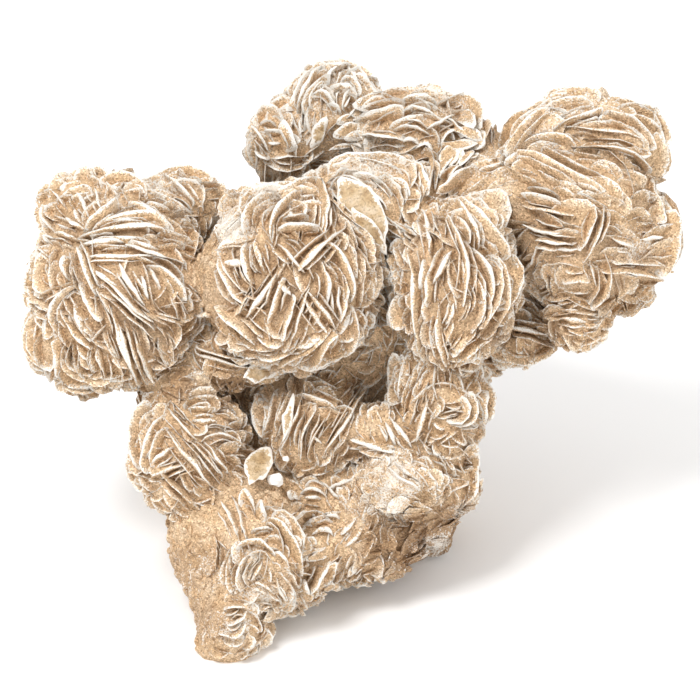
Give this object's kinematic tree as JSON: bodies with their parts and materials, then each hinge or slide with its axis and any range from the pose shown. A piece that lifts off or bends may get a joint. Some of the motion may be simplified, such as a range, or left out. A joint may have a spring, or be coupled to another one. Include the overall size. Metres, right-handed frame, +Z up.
{
  "type": "gypsum sand rose",
  "caption": "Natural cluster of sandy gypsum rosettes with thin lens-shaped blades, grown together on a short foot that stands on a flat cut.",
  "frame": {"origin": "on the surface that the specimen stands on, under the middle of its bounding box", "axes": "+Z up; +X along the specimen's longest extent, towards the viewer's right; the viewer looks along +Y at the face with the blades"},
  "size_m": [0.1533, 0.109, 0.11],
  "materials": {
    "sandy_gypsum": "matte"
  },
  "bodies": {
    "root": {"sand_rose": "sandy_gypsum"}
  },
  "joints": []
}
